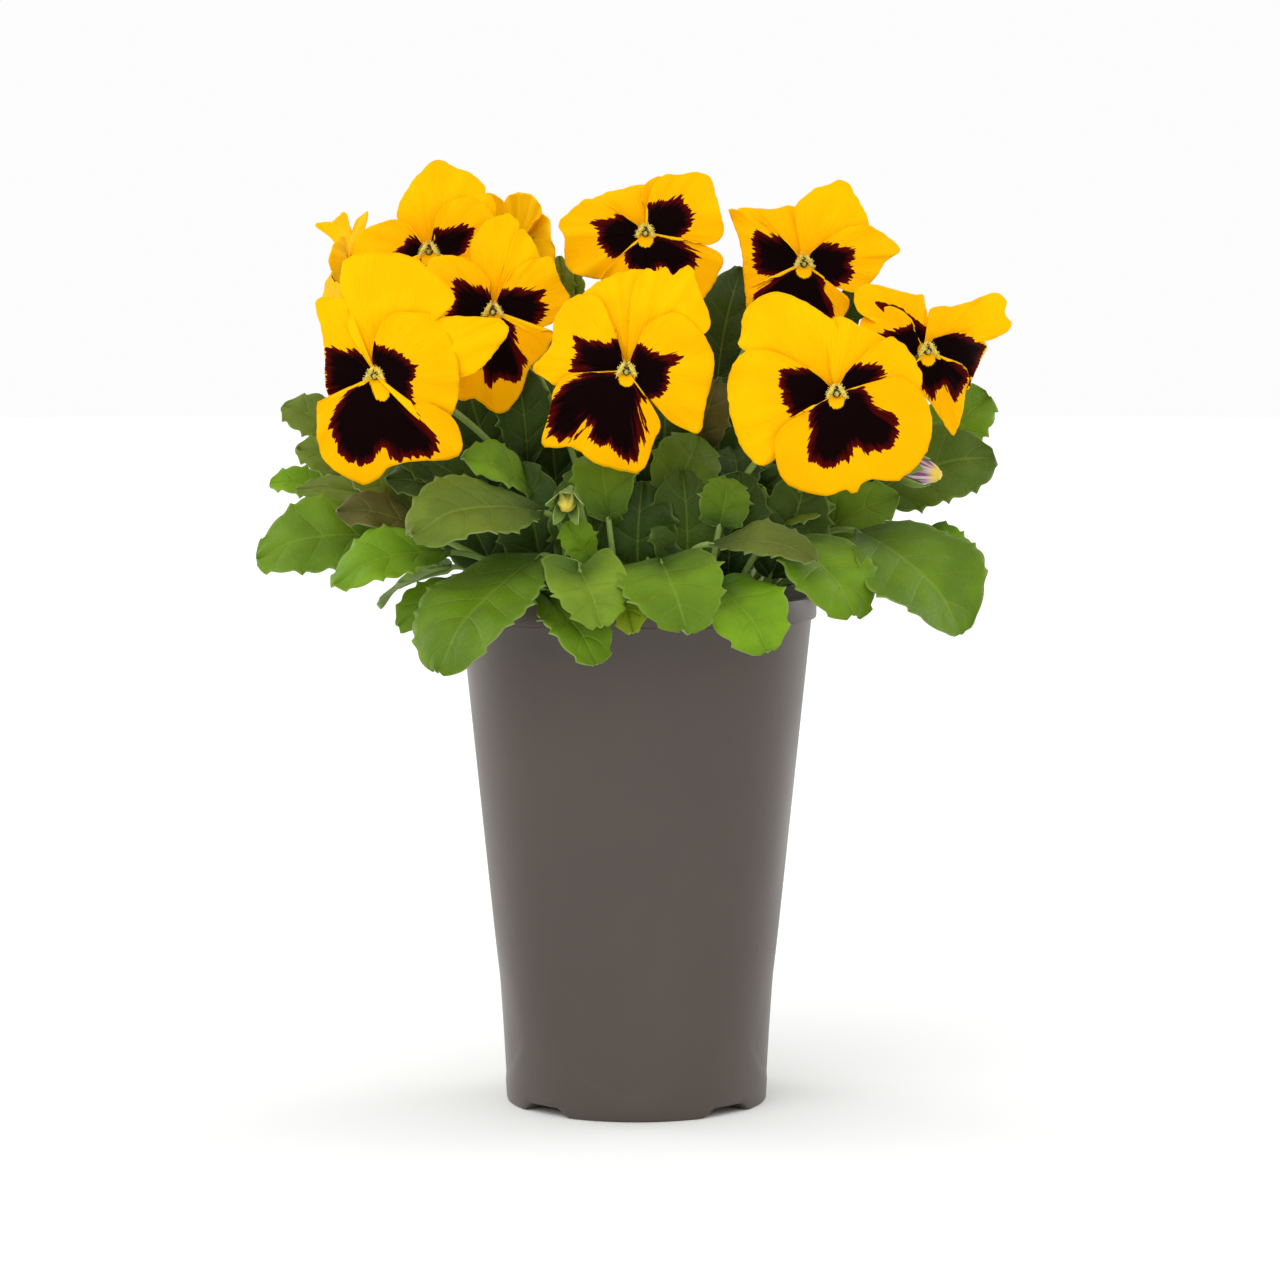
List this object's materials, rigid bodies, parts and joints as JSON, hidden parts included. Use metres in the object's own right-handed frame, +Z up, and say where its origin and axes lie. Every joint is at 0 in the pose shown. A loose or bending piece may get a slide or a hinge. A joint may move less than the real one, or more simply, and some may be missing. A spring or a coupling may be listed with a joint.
{
  "type": "potted pansy planter",
  "caption": "Flowering pansy plant with yellow, dark-blotched flowers and scalloped leaves, growing in a tall tapered plastic pot that stands on its own base",
  "frame": {"origin": "on the standing plane under the middle of the plant, on the pot's vertical axis", "axes": "+Z up, +X to the right and +Y to the back of the plant as seen from the side that most flowers face"},
  "size_m": [0.2487, 0.1976, 0.3161],
  "materials": {
    "pot_plastic": "moulded grey-brown plastic with a low sheen",
    "soil": "damp peat and bark potting mix",
    "leaf_green": "satin leaf with paler veins and margins",
    "stalk_green": "smooth pale green stalk",
    "petal_yellow": "velvety yellow petal with near-black maroon blotches",
    "bud_green": "pale yellow-green closed bud",
    "bud_purple": "rolled purple and cream bud"
  },
  "bodies": {
    "root": {"bud_green": "bud_green", "bud_purple": "bud_purple", "corolla_far_left": "petal_yellow", "corolla_far_right": "petal_yellow", "corolla_front_centre": "petal_yellow", "corolla_front_left": "petal_yellow", "corolla_front_right": "petal_yellow", "corolla_mid_left": "petal_yellow", "corolla_top_centre": "petal_yellow", "corolla_top_left": "petal_yellow", "corolla_top_right": "petal_yellow", "corolla_turned_away": "petal_yellow", "leaf_back_high_left": "leaf_green", "leaf_back_high_right": "leaf_green", "leaf_back_left": "leaf_green", "leaf_back_left_low": "leaf_green", "leaf_back_middle": "leaf_green", "leaf_back_right": "leaf_green", "leaf_back_right_low": "leaf_green", "leaf_back_tall": "leaf_green", "leaf_centre_back": "leaf_green", "leaf_centre_dark": "leaf_green", "leaf_centre_left": "leaf_green", "leaf_centre_small": "leaf_green", "leaf_centre_upright": "leaf_green", "leaf_front_bright": "leaf_green", "leaf_front_grey": "leaf_green", "leaf_front_heart": "leaf_green", "leaf_front_large": "leaf_green", "leaf_front_lime": "leaf_green", "leaf_front_low": "leaf_green", "leaf_front_round": "leaf_green", "leaf_front_straight": "leaf_green", "leaf_left_bright": "leaf_green", "leaf_left_brown": "leaf_green", "leaf_left_grey": "leaf_green", "leaf_left_inner": "leaf_green", "leaf_left_light": "leaf_green", "leaf_left_long": "leaf_green", "leaf_left_shaded": "leaf_green", "leaf_left_upper": "leaf_green", "leaf_right_front": "leaf_green", "leaf_right_high": "leaf_green", "leaf_right_large": "leaf_green", "leaf_right_small": "leaf_green", "leaf_right_top": "leaf_green", "leaf_shaded_left": "leaf_green", "leaf_shaded_right": "leaf_green", "pot": "pot_plastic", "soil": "soil", "stalk_far_left": "stalk_green", "stalk_far_right": "stalk_green", "stalk_front_centre": "stalk_green", "stalk_front_left": "stalk_green", "stalk_front_right": "stalk_green", "stalk_mid_left": "stalk_green", "stalk_top_centre": "stalk_green", "stalk_top_left": "stalk_green", "stalk_top_right": "stalk_green", "stalk_turned_away": "stalk_green"}
  },
  "joints": []
}
